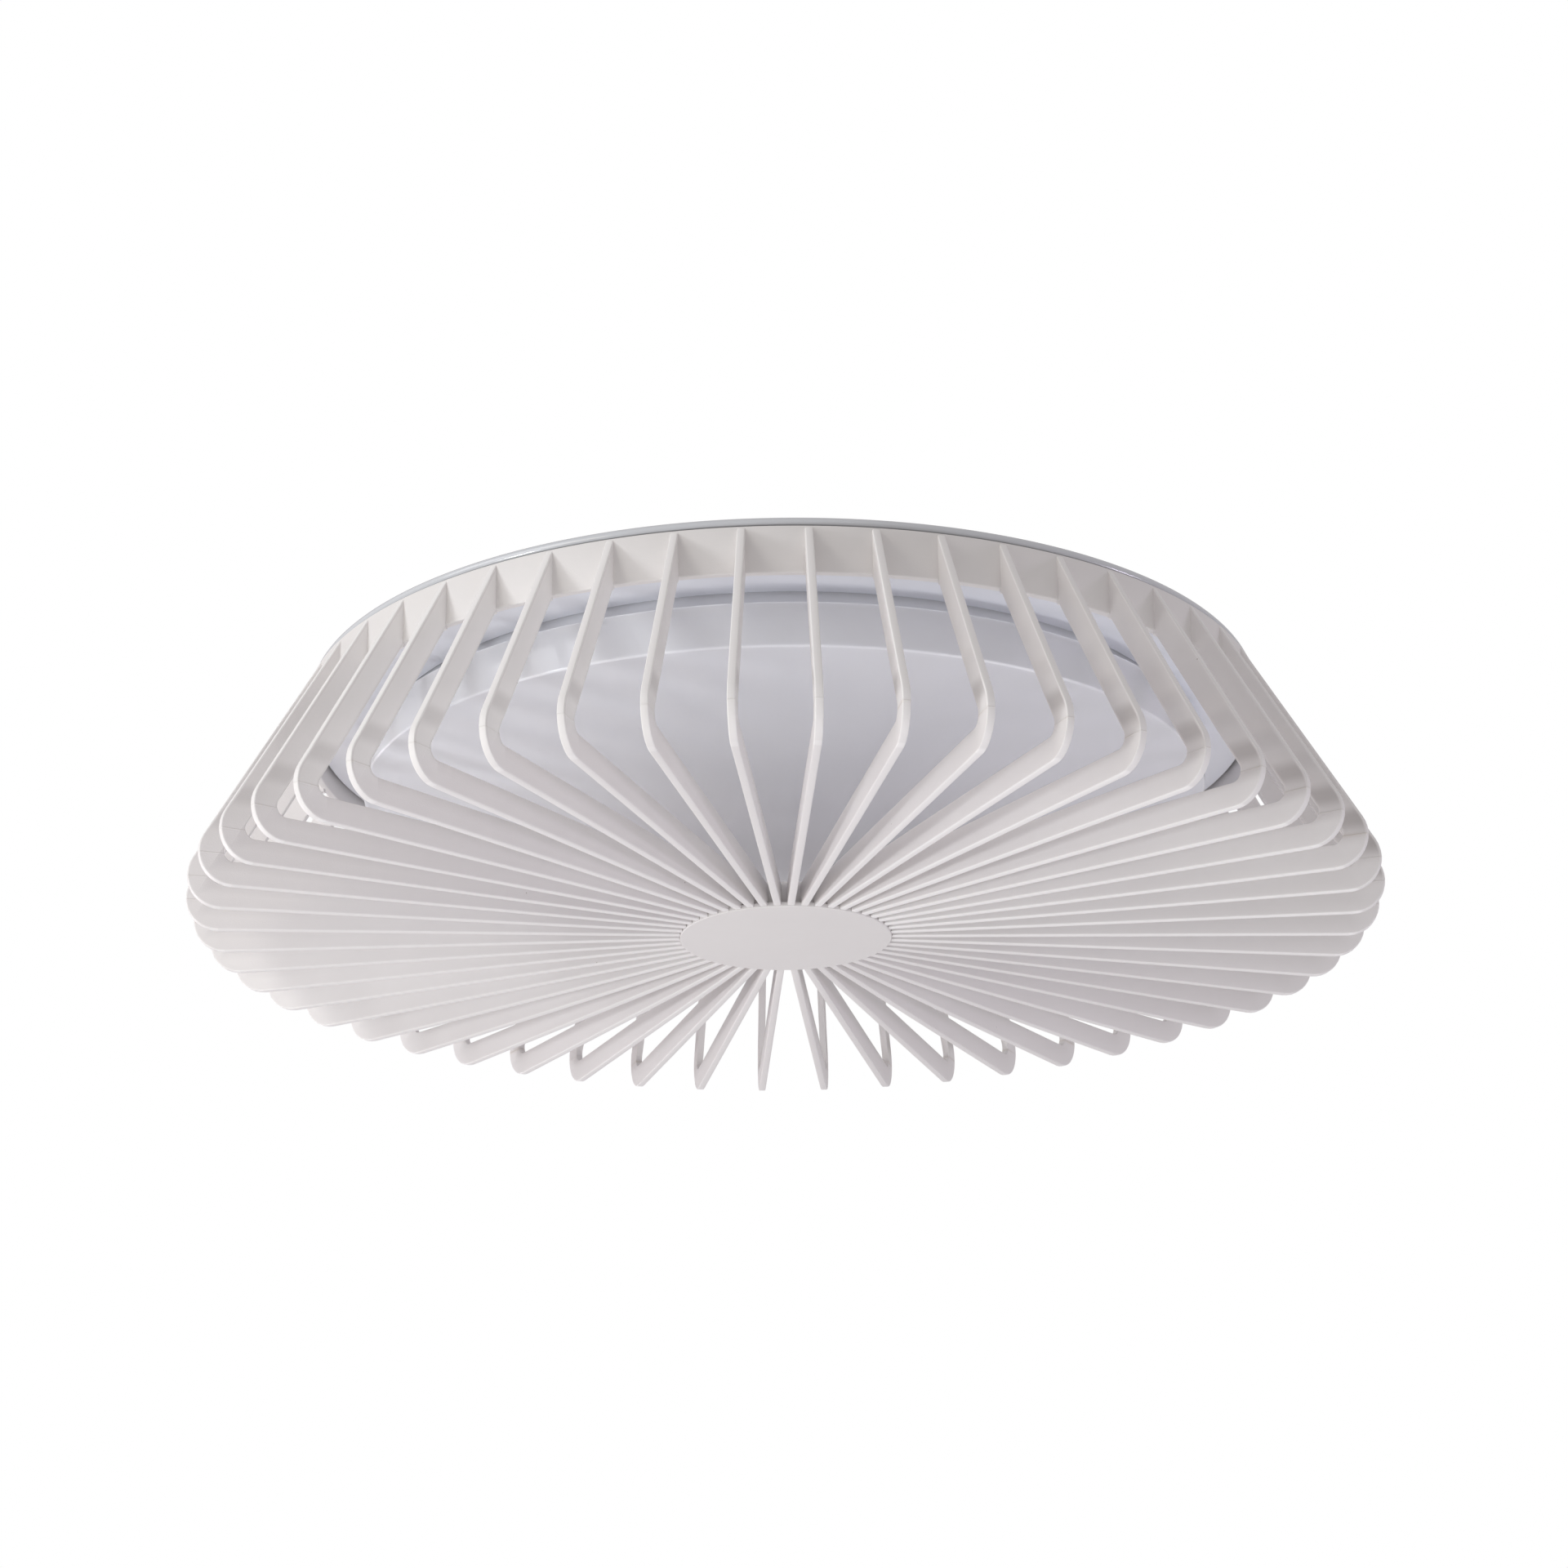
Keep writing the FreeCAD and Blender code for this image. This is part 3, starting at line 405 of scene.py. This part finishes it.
def painted_glow(x, y, z):
    """Share of painted glow that comes out of the opal at its neck and, weaker, of a painted highlight along
    its lower front edge.
    """
    across = length(x, y)
    neck = z.clamped(rim_top - 5 * mm, rim_top)
    ledge = across.clamped(collar_radius + 1 * mm, collar_radius + 2 * mm)
    above_rim = z.clamped(rim_top - 0.6 * mm, rim_top - 0.1 * mm)
    neck = neck * neck * (ledge * 0.05 + 0.055) * above_rim + neck * 0.02
    foot = z.near(foot_level + 0.2 * mm, 0.15 * mm, 0.55 * mm)
    foot = foot * across.clamped(foot_radius - 1.6 * mm, foot_radius - 0.6 * mm)
    aside = x.math("ABSOLUTE", x)
    foot = foot * (1 - aside.clamped(104 * mm, 128 * mm))
    more_left = (0 - x).clamped(20 * mm, 100 * mm) * 0.03
    return neck + foot * (aside.clamped(20 * mm, 90 * mm) * 0.07 + more_left + 0.03)


def plated_steel(name, colour, rough):
    """Plated sheet or screw stock: short rolled streaks and a mottled bloom."""
    finish = Finish(name, {"Metallic": 1.0})
    streak = finish.noise(700.0, 3.0, 0.6, finish.place((0.06, 1.0, 1.0)))
    bloom = finish.noise(130.0, 4.0).clamped(0.3, 0.75)
    dark = tuple(part * 0.82 for part in colour)
    finish.set("Base Color", (bloom * 0.6 + streak * 0.3).mix(rgb(*dark), rgb(*colour)))
    finish.set("Roughness", bloom * 0.14 + streak * 0.10 + rough)
    finish.bump(streak * (0.03 * mm))
    return finish.material


def soft_rubber(name, colour):
    """Dull rubber or sleeving with a dusty bloom."""
    finish = Finish(name, {"Specular IOR Level": 0.35})
    bloom = finish.noise(160.0, 4.0).clamped(0.35, 0.8)
    pale = tuple(part * 0.8 + 0.04 for part in colour)
    finish.set("Base Color", bloom.mix(rgb(*colour), rgb(*pale)))
    finish.set("Roughness", bloom * 0.15 + 0.62)
    finish.bump(finish.noise(1500.0) * (0.06 * mm))
    return finish.material


def hard_plastic(name, colour, rough=0.38):
    """Small moulded parts: fine spark texture and slight colour drift."""
    finish = Finish(name, {"IOR": plastic_ior})
    pale = tuple(min(1.0, part * 1.08 + 0.01) for part in colour)
    finish.set("Base Color", finish.cloud(90.0).mix(rgb(*colour), rgb(*pale)))
    finish.set("Roughness", finish.noise(600.0) * 0.16 + rough)
    finish.bump(finish.noise(2600.0, 2.0) * (0.03 * mm))
    return finish.material


# Shapes

def arc_or_point(bm, before, corner, after, steps):
    """First and last vertex of one corner of an outline: a spun arc, or one point where its radius is 0."""
    here = Vector((corner[0], 0, corner[1]))
    radius = corner[2] if len(corner) > 2 else 0
    if not radius:
        point = bm.verts.new(here)
        return point, point
    inward = (Vector((before[0], 0, before[1])) - here).normalized()
    onward = (Vector((after[0], 0, after[1])) - here).normalized()
    half = inward.angle(onward) / 2
    centre = here + (inward + onward).normalized() * (radius / math.sin(half))
    first = bm.verts.new(here + inward * (radius / math.tan(half)))
    side = 1 if inward.cross(onward).y > 0 else -1
    made = bmesh.ops.spin(bm, geom=[first], cent=centre, axis=(0, side, 0), angle=-(math.pi - 2 * half),
                          steps=steps, use_duplicate=False)
    last = [item for item in made["geom_last"] if isinstance(item, bmesh.types.BMVert)][0]
    return first, last


def outline(bm, corners, steps=6, closed=True):
    """Wire in the XZ plane through corners (x, z) or (x, z, radius)."""
    same_place = 1e-7
    ends = []
    for place, corner in enumerate(corners):
        after = corners[(place + 1) % len(corners)]
        ends.append(arc_or_point(bm, corners[place - 1], corner, after, steps))
    for place in range(len(ends) if closed else len(ends) - 1):
        start = ends[place][1]
        stop = ends[(place + 1) % len(ends)][0]
        if (start.co - stop.co).length > same_place:
            bm.edges.new((start, stop))
    bmesh.ops.remove_doubles(bm, verts=bm.verts[:], dist=same_place)


def clean(bm):
    """Merges doubles and turns all faces outwards."""
    bmesh.ops.remove_doubles(bm, verts=bm.verts[:], dist=1e-6)
    bmesh.ops.recalc_face_normals(bm, faces=bm.faces[:])


def spin_whole(bm, facets=round_steps):
    """Turns a wire once round the light's centre line."""
    bmesh.ops.spin(bm, geom=bm.edges[:], cent=(0, 0, 0), axis=(0, 0, 1), angle=2 * math.pi, steps=facets,
                   use_merge=True)
    clean(bm)


def turned(corners, steps=6, closed=True, facets=round_steps):
    """Solid of revolution about the light's centre line."""
    bm = bmesh.new()
    outline(bm, corners, steps, closed)
    spin_whole(bm, facets)
    return bm


def sector(corners, start, angle, facets):
    """Part of a turned ring with closed ends, from a start direction through an angle."""
    bm = bmesh.new()
    outline(bm, corners, steps=4)
    face = bmesh.ops.contextual_create(bm, geom=bm.edges[:])["faces"][0]
    bmesh.ops.rotate(bm, verts=bm.verts[:], cent=(0, 0, 0), matrix=Matrix.Rotation(start, 3, "Z"))
    bmesh.ops.spin(bm, geom=face.edges[:] + [face], cent=(0, 0, 0), axis=(0, 0, 1), angle=angle,
                   steps=facets)
    clean(bm)
    return bm


def join(target, *others):
    """Adds other shapes to a shape and frees them."""
    for other in others:
        holder = bpy.data.meshes.new("joining")
        other.to_mesh(holder)
        other.free()
        target.from_mesh(holder)
        bpy.data.meshes.remove(holder)
    return target


def piece(name, bm, body, nodes, material, smooth_angle=32.0):
    """Finishes a shape as an object that stands for CAD nodes and rides on their body."""
    mesh = bpy.data.meshes.new(name)
    bm.to_mesh(mesh)
    bm.free()
    made = bpy.data.objects.new(name, mesh)
    bpy.context.scene.collection.objects.link(made)
    mesh.materials.append(material)
    for polygon in mesh.polygons:
        polygon.use_smooth = True
    mesh.set_sharp_from_angle(angle=math.radians(smooth_angle))
    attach(made, body)
    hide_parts(*nodes)
    return made


# Cage

def fin_corners():
    """Side view of one fin. Its roots run on into the ring and the hub."""
    start, end, arm, tail = fin_lines()
    crook = inside_corner(arm, tail, fin_depth)
    inner_start = start.y - fin_depth / arm.x
    inner_end = end.y + fin_depth / -tail.x
    root = ring_radius - buried
    hub = hub_radius - buried
    notch = cap_radius + cap_gap
    return [
        (root, start.y),
        (start.x, start.y),
        (fin_corner.x, fin_corner.y, fin_corner_radius),
        (notch, end.y),
        (notch, cap_top),
        (hub, cap_top),
        (hub, inner_end),
        (crook.x, crook.y, fin_crook_radius),
        (start.x, inner_start),
        (root, inner_start),
    ]


def rim_edges(bm):
    """Sharp edges round the two sides of a fin that lies in the XZ plane."""
    sharp = 1.2        # radians between the faces
    level = 1e-9
    rims = []
    for edge in bm.edges:
        first, last = edge.verts
        if edge.calc_face_angle(0) > sharp and abs(first.co.y - last.co.y) < level:
            rims.append(edge)
    return rims


def cage_fins(material):
    """One fin, extruded, with rounded rims, then repeated round the light."""
    bm = bmesh.new()
    outline(bm, fin_corners(), steps=12)
    face = bmesh.ops.contextual_create(bm, geom=bm.edges[:])["faces"][0]
    bmesh.ops.translate(bm, verts=bm.verts[:], vec=(0, -fin_thickness / 2, 0))
    made = bmesh.ops.extrude_face_region(bm, geom=[face], use_keep_orig=True)
    moved = [item for item in made["geom"] if isinstance(item, bmesh.types.BMVert)]
    bmesh.ops.translate(bm, verts=moved, vec=(0, fin_thickness, 0))
    bmesh.ops.recalc_face_normals(bm, faces=bm.faces[:])
    bmesh.ops.bevel(bm, geom=rim_edges(bm), offset=fin_edge_round, offset_type="OFFSET", segments=3,
                    profile=0.5, affect="EDGES", material=-1, clamp_overlap=True)
    first = Matrix.Rotation(fin_first_turn - math.pi / 2, 3, "Z")
    bmesh.ops.rotate(bm, verts=bm.verts[:], cent=(0, 0, 0), matrix=first)
    everything = bm.verts[:] + bm.edges[:] + bm.faces[:]
    sweep = 2 * math.pi * (1 - 1 / fin_count)
    bmesh.ops.spin(bm, geom=everything, cent=(0, 0, 0), axis=(0, 0, 1), angle=sweep, steps=fin_count - 1,
                   use_duplicate=True)
    bmesh.ops.recalc_face_normals(bm, faces=bm.faces[:])
    piece("fins", bm, "cage", ["cage_fins"], material)


def cage_ring(material):
    inner = ring_radius - ring_wall
    bm = turned([
        (inner, ring_low.z, cage_edge_round),
        (ring_radius, ring_low.z, cage_edge_round),
        (ring_radius, ring_high.z, cage_edge_round / 2),
        (inner, ring_high.z, cage_edge_round),
    ])
    piece("ring_band", bm, "cage", ["cage_ring"], material)


def cage_hub(material):
    inner = hub_radius - hub_wall
    web_low = hub_high.z - hub_web
    bm = turned([
        (0, hub_high.z),
        (hub_radius, hub_high.z, cage_edge_round),
        (hub_radius, cap_top),
        (inner, cap_top),
        (inner, web_low, cage_edge_round),
        (0, web_low),
    ], closed=False, facets=150)
    piece("hub_wall", bm, "cage", ["cage_hub"], material)


def hub_cap(material):
    bm = turned([
        (0, cap_low.z),
        (cap_radius, cap_low.z, cap_edge_round),
        (cap_radius, cap_top),
        (0, cap_top),
    ], closed=False, facets=200)
    piece("centre_disc", bm, "cage", ["hub_cap"], material)


# Base

def base_pan(material):
    """Rolled outer bead, roof with a pressed rib, and the wiring recess with rounded bends."""
    under = roof_top - pan_sheet
    rib_inner = recess_radius + rib_distance
    rib_outer = rib_inner + rib_width
    bead_outer = bead_middle + bead_radius
    bead_round = bead_radius * 0.995    # just short of its radius, so that its two arcs don't meet
    bm = turned([
        (0, recess_floor),
        (recess_radius, recess_floor, pan_bend),
        (recess_radius, roof_top, pan_bend),
        (rib_inner, roof_top, pan_bend),
        (rib_inner + rib_rise, roof_top + rib_rise, pan_bend / 2),
        (rib_outer - rib_rise, roof_top + rib_rise, pan_bend / 2),
        (rib_outer, roof_top, pan_bend),
        (bead_middle - 2 * bead_radius, roof_top, pan_bend / 2),
        (bead_middle - bead_radius, 0, pan_bend / 2),
        (bead_outer, 0, bead_round),
        (bead_outer, -2 * bead_radius, bead_round),
        (pan_radius, -2 * bead_radius),
        (pan_radius, pan_wall_foot),
        (pan_radius - pan_sheet, pan_wall_foot),
        (pan_radius - pan_sheet, under, pan_bend),
        (recess_radius + pan_sheet, under),
        (recess_radius + pan_sheet, recess_floor - pan_sheet),
        (0, recess_floor - pan_sheet),
    ], steps=7, closed=False)
    piece("pan_shell", bm, "base", ["base_pan"], material)


def trim_ring(material):
    low = pan_wall_foot - trim_thickness
    bm = turned([
        (trim_opening, pan_wall_foot),
        (trim_radius, pan_wall_foot),
        (trim_radius, low, trim_edge_round),
        (trim_opening, low - trim_dish, trim_edge_round / 2),
    ])
    piece("trim_face", bm, "base", ["trim_ring"], material)


def diffuser(material):
    """Opal dish: neck, rim, upright side and crowned bottom in one even wall."""
    crown_radius = (foot_radius ** 2 + crown_depth ** 2) / (2 * crown_depth)
    crown_centre = foot_level - crown_depth + crown_radius
    edge = foot_radius - crown_margin
    edge_level = crown_centre - math.sqrt(crown_radius ** 2 - edge ** 2)
    bm = bmesh.new()
    outline(bm, [
        (collar_radius, collar_top),
        (collar_radius, rim_top, neck_round),
        (rim_radius, rim_top, rim_round),
        (foot_radius, foot_level, foot_round),
        (edge, edge_level),
    ], steps=7, closed=False)
    last = min(bm.verts, key=lambda vert: vert.co.z)
    sweep = math.asin(edge / crown_radius)
    bmesh.ops.spin(bm, geom=[last], cent=(0, 0, crown_centre), axis=(0, 1, 0), angle=sweep, steps=24)
    spin_whole(bm)
    made = piece("diffuser_dish", bm, "bowl", ["diffuser"], material, smooth_angle=50.0)
    wall = made.modifiers.new("wall", "SOLIDIFY")
    wall.thickness = bowl_wall
    wall.offset = -1.0


def bayonet_lugs(material):
    """Short tongues on the diffuser's neck, above the trim ring."""
    low = pan_wall_foot + lug_clearance
    high = low + lug_thickness
    inner = collar_radius - bowl_wall / 2
    outer = collar_radius + lug_reach
    corners = [(inner, low), (outer, low, lug_edge_round), (outer, high, lug_edge_round), (inner, high)]
    lugs = []
    for number in range(lug_count):
        start = lug_first + 2 * math.pi * number / lug_count - lug_angle / 2
        lugs.append(sector(corners, start, lug_angle, facets=12))
    piece("bayonet_lugs", join(*lugs), "bowl", [], material)


# Hardware that keeps its CAD shape

def dress(node, material, edge):
    """Gives a CAD node its finish and, where an edge size is given, softly rounded edges."""
    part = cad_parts[node]
    part.data.materials.clear()
    part.data.materials.append(material)
    if edge:
        weld = part.modifiers.new("weld", "WELD")
        weld.merge_threshold = 1e-6
        flat = part.modifiers.new("flat", "DECIMATE")
        flat.decimate_type = "DISSOLVE"
        flat.angle_limit = math.radians(1.0)
        soft = part.modifiers.new("edge", "BEVEL")
        soft.width = edge
        soft.segments = 2
        soft.limit_method = "ANGLE"
        soft.angle_limit = math.radians(40)


def dress_hardware():
    zinc = plated_steel("zinc plate", (0.66, 0.67, 0.68), 0.26)
    spring = plated_steel("spring steel", (0.50, 0.51, 0.53), 0.30)
    brass = plated_steel("turned brass", (0.78, 0.60, 0.30), 0.24)
    sheet = plated_steel("bare aluminium", (0.78, 0.79, 0.80), 0.34)
    copper = plated_steel("winding copper", (0.72, 0.38, 0.22), 0.30)
    ferrite = hard_plastic("pressed ferrite", (0.07, 0.07, 0.075), 0.55)
    rubber = soft_rubber("gasket rubber", (0.10, 0.10, 0.105))
    grey = hard_plastic("terminal grey", (0.55, 0.56, 0.57))
    slate = hard_plastic("lever slate", (0.16, 0.22, 0.29), 0.30)
    casing = hard_plastic("driver white", (0.74, 0.74, 0.73), 0.45)
    board = hard_plastic("white solder mask", (0.80, 0.80, 0.79), 0.30)
    circuit = hard_plastic("circuit green", (0.04, 0.19, 0.09), 0.30)
    can = hard_plastic("capacitor sleeve", (0.03, 0.03, 0.04), 0.25)
    phosphor = hard_plastic("phosphor", (0.82, 0.64, 0.16), 0.30)
    earth = soft_rubber("earth sleeve", (0.22, 0.42, 0.06))
    brown = soft_rubber("mains sleeve", (0.20, 0.09, 0.045))
    red = soft_rubber("board lead sleeve", (0.45, 0.05, 0.04))
    plain = 0.0
    fine = 0.25 * mm
    soft = 0.5 * mm
    dressed = [
        (zinc, plain, ["trim_screws", "hub_screws", "terminal_screws", "earth_screw", "driver_screws"]),
        (zinc, plain, ["tray_screws", "board_screws", "lever_pin", "bracket_studs", "stud_washers"]),
        (zinc, fine, ["ceiling_bracket"]),
        (spring, plain, ["cage_clips", "clip_rivets"]),
        (brass, plain, ["stud_nuts", "earth_tag"]),
        (rubber, soft, ["ceiling_gasket"]),
        (rubber, plain, ["wire_grommet"]),
        (grey, fine, ["terminal_block"]),
        (slate, fine, ["lever_live", "lever_neutral", "lever_earth"]),
        (earth, plain, ["earth_lead"]),
        (brown, plain, ["mains_leads"]),
        (red, plain, ["led_leads"]),
        (casing, plain, ["driver_case", "driver_cover"]),
        (circuit, plain, ["driver_board"]),
        (ferrite, plain, ["transformer_core"]),
        (copper, plain, ["transformer_coil"]),
        (can, plain, ["driver_capacitors"]),
        (sheet, plain, ["gear_tray", "tray_posts"]),
        (board, plain, ["led_board"]),
        (phosphor, plain, ["led_packages"]),
    ]
    for material, edge, nodes in dressed:
        for node in nodes:
            dress(node, material, edge)


# Studio

def add_lamp(name, spot, target, size, power, colour):
    """Soft rectangular lamp aimed at a point."""
    data = bpy.data.lights.new(name, "AREA")
    data.shape = "RECTANGLE"
    data.size, data.size_y = size
    data.energy = power
    data.color = colour
    lamp = bpy.data.objects.new(name, data)
    lamp.location = spot
    lamp.rotation_mode = "QUATERNION"
    lamp.rotation_quaternion = (Vector(target) - Vector(spot)).to_track_quat("-Z", "Y")
    bpy.context.scene.collection.objects.link(lamp)


def seen_directly(tree):
    """1 for rays from the camera and for clear rays, 0 for the rays that light a surface."""
    camera = add_node(tree, "ShaderNodeLightPath", out="Is Camera Ray")
    return camera.math("MAXIMUM", camera, camera.output("Is Transmission Ray"))


def white_when_seen(tree, lighting, plain_white, output):
    """Ends a cleared node tree with a shader for lighting and a plain white one for what the camera sees."""
    lit = add_node(tree, lighting[0], None, lighting[1])
    seen = add_node(tree, plain_white, None, {"Color": rgb(1, 1, 1), "Strength": 1.0})
    mixed = add_node(tree, "ShaderNodeMixShader", None, {0: seen_directly(tree), 1: lit, 2: seen})
    add_node(tree, output, None, {"Surface": mixed}, out=None)


def studio_world(strength, colour):
    world = bpy.data.worlds.new("studio")
    bpy.context.scene.world = world
    world.use_nodes = True
    world.node_tree.nodes.clear()
    lighting = ("ShaderNodeBackground", {"Color": colour, "Strength": strength})
    white_when_seen(world.node_tree, lighting, "ShaderNodeBackground", "ShaderNodeOutputWorld")


def studio_floor(level, size):
    """Plain pale floor far below the light."""
    bm = bmesh.new()
    bmesh.ops.create_grid(bm, x_segments=1, y_segments=1, size=size)
    bmesh.ops.translate(bm, verts=bm.verts[:], vec=(0, 0, level))
    mesh = bpy.data.meshes.new("floor")
    bm.to_mesh(mesh)
    bm.free()
    floor = bpy.data.objects.new("floor", mesh)
    bpy.context.scene.collection.objects.link(floor)
    material = bpy.data.materials.new("floor")
    material.use_nodes = True
    material.node_tree.nodes.clear()
    lighting = ("ShaderNodeBsdfDiffuse", {"Color": rgb(0.8, 0.8, 0.8)})
    white_when_seen(material.node_tree, lighting, "ShaderNodeEmission", "ShaderNodeOutputMaterial")
    mesh.materials.append(material)


def photo_camera():
    """Camera below the light, looking up at its front, as the photograph was taken."""
    rise = math.radians(20.03)
    roll = math.radians(-0.687)
    distance = 1.497
    target = Vector((0, 0, -0.0339))
    back = Vector((0, -math.cos(rise), -math.sin(rise)))
    right = Vector((1, 0, 0))
    up = back.cross(right)
    across = right * math.cos(roll) + up * math.sin(roll)
    above = back.cross(across)
    data = bpy.data.cameras.new("camera")
    data.sensor_width = 36.0
    data.lens = 80.36
    camera = bpy.data.objects.new("camera", data)
    axes = Matrix((across, above, back)).transposed().to_4x4()
    camera.matrix_world = Matrix.Translation(target + back * distance) @ axes
    bpy.context.scene.collection.objects.link(camera)
    bpy.context.scene.camera = camera


def light_studio():
    """Even surroundings, a floor and lamps: name, place, size, power in watts and colour."""
    studio_world(0.51, rgb(1.0, 0.972, 0.977))
    studio_floor(level=-1.9, size=15.0)
    middle = (0, 0, -0.05)
    lamps = [
        ("key from the left", (-1.8, -1.0, -0.8), (0.3, 0.3), 10.4, (0.94, 0.98, 1.0)),
        ("large lamp above, left", (-1.8, -0.9, 0.5), (1.2, 1.2), 9.6, (0.96, 0.97, 1.0)),
        ("lamp from behind, left", (-1.6, 1.2, -0.6), (0.8, 0.8), 7.5, (1.0, 0.91, 1.0)),
        ("lamp from the front, left", (-1.5, -1.5, -0.1), (0.6, 0.6), 3.0, (1.0, 0.97, 0.82)),
        ("strip from below", (0.4, -0.6, -1.65), (2.4, 0.3), 8.8, (0.93, 0.95, 1.0)),
        ("lamp from below, left", (-1.4, -0.4, -1.4), (0.3, 0.3), 1.4, (1.0, 0.80, 0.60)),
        ("fill from the right", (2.0, -0.2, -0.8), (0.3, 0.3), 4.2, (0.88, 0.80, 1.0)),
    ]
    for name, spot, size, power, colour in lamps:
        add_lamp(name, spot, middle, size, power, colour)


# The fins' copy of the white moulding is painted a little lighter and the ring and disc's a little darker:
# painted light and shade
fin_white_painted_lighter = moulded_white("cage white, fins", rgb(0.806, 0.778, 0.769), rgb(0.832, 0.806, 0.796),
                          parting_level)
band_white_painted_darker = moulded_white("cage white, ring and disc", rgb(0.787, 0.761, 0.749), rgb(0.814, 0.789, 0.777))
opal = opal_acrylic()
cage_fins(fin_white_painted_lighter)
cage_ring(band_white_painted_darker)
cage_hub(band_white_painted_darker)
hub_cap(band_white_painted_darker)
base_pan(glossy_paint())
trim_ring(glossy_trim())
diffuser(opal)
bayonet_lugs(opal)
dress_hardware()

photo_camera()
light_studio()
bpy.context.scene.view_settings.view_transform = "Standard"
